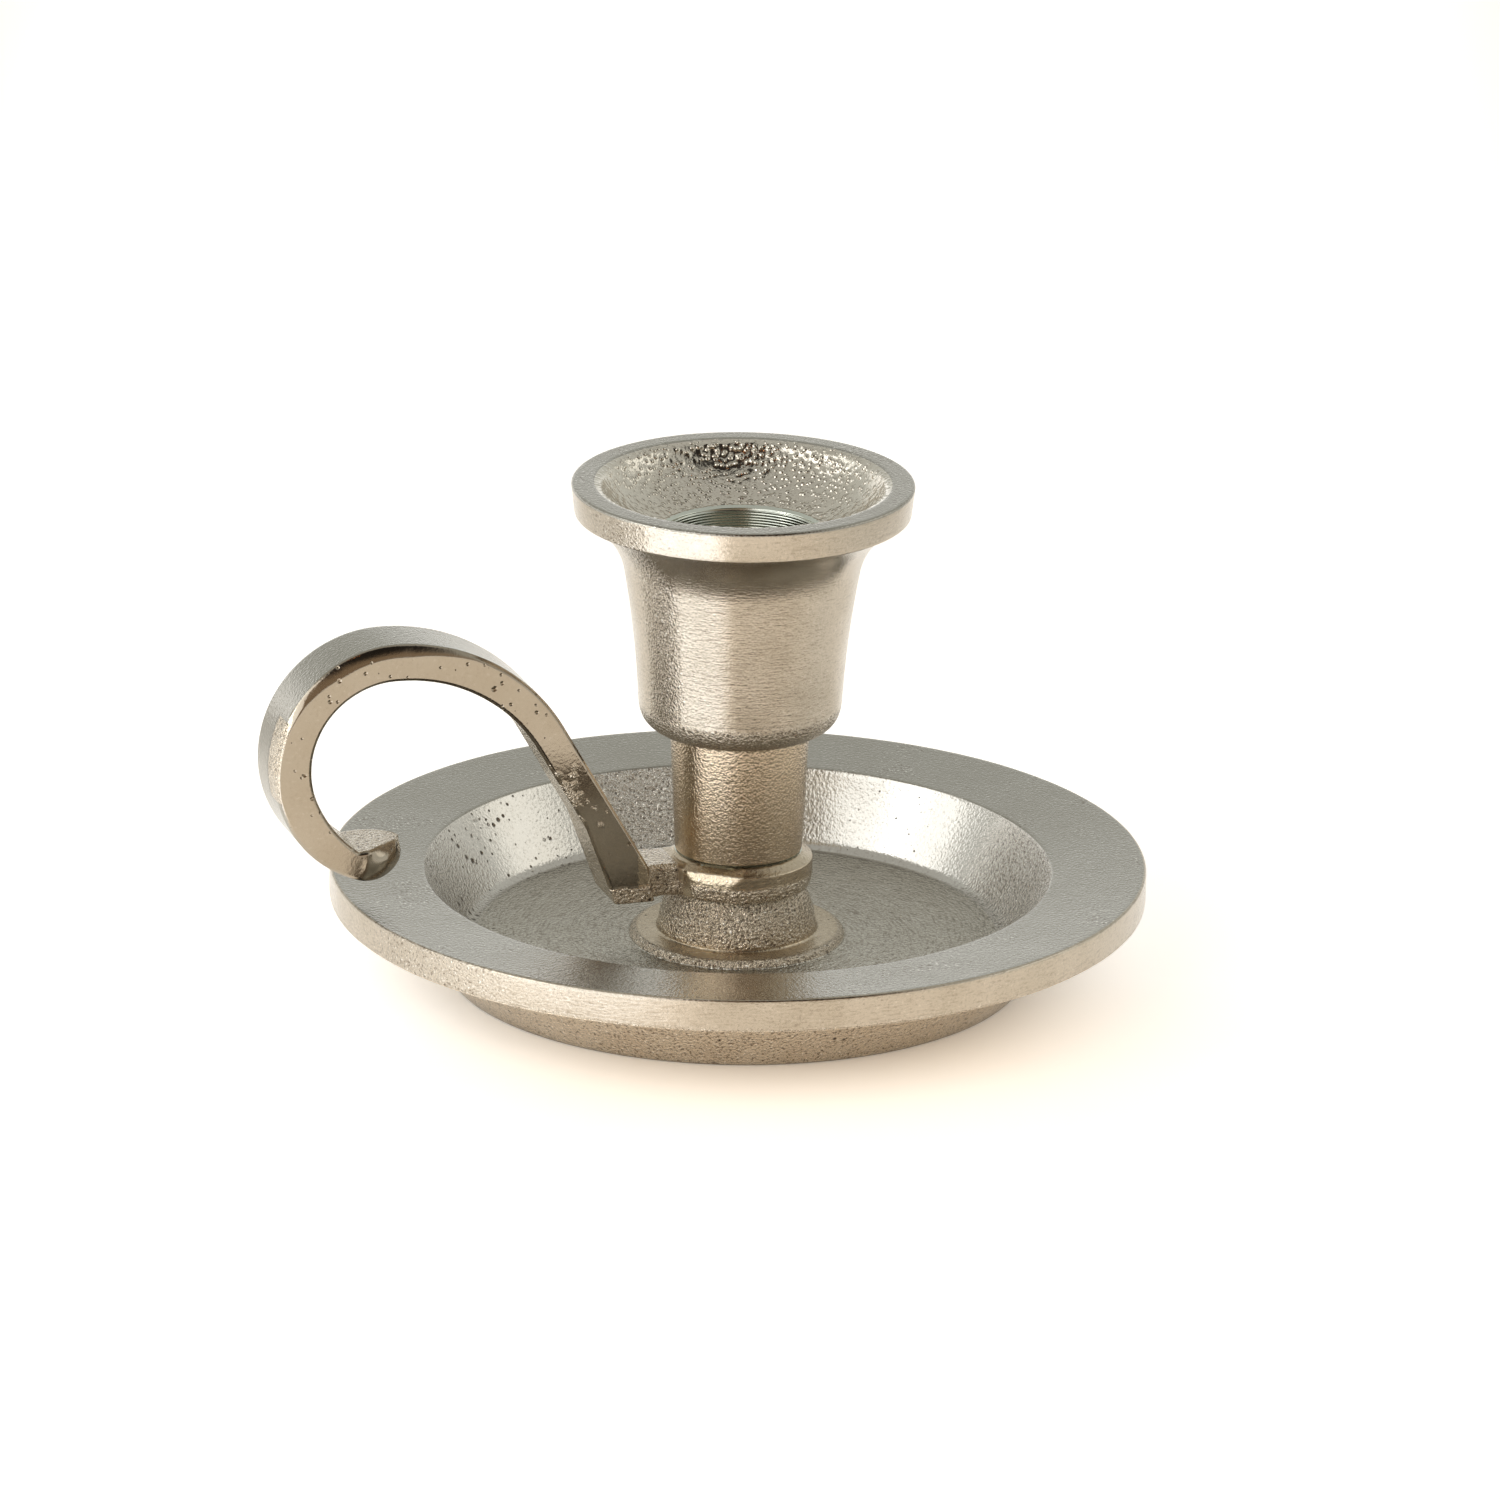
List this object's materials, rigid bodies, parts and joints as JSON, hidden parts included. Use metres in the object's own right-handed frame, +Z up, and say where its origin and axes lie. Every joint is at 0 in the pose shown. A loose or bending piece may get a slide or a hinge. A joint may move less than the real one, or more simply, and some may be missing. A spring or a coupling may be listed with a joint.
{
  "type": "chamberstick with finger loop",
  "caption": "Low chamberstick: candle socket on a short stem over a dished drip pan with a broad flat rim, and a flat bar handle that curls into an open finger loop.",
  "frame": {"origin": "on the candle's axis, in the plane of the pan's standing ring, which is the surface that the stick stands on", "axes": "+Z up along the candle's axis; the handle reaches out along -X and the XZ plane is the plane of symmetry"},
  "size_m": [0.1319, 0.12, 0.0745],
  "materials": {
    "nickel_plated_casting": "sand-cast, hand-linished and plated in warm raw nickel",
    "zinc_plated_steel": "bright zinc plate"
  },
  "bodies": {
    "root": {"drip_pan": "nickel_plated_casting", "finger_loop_handle": "nickel_plated_casting", "candle_socket": "nickel_plated_casting", "fixing_screw": "zinc_plated_steel", "spring_washer": "zinc_plated_steel", "flat_washer": "zinc_plated_steel"}
  },
  "joints": []
}
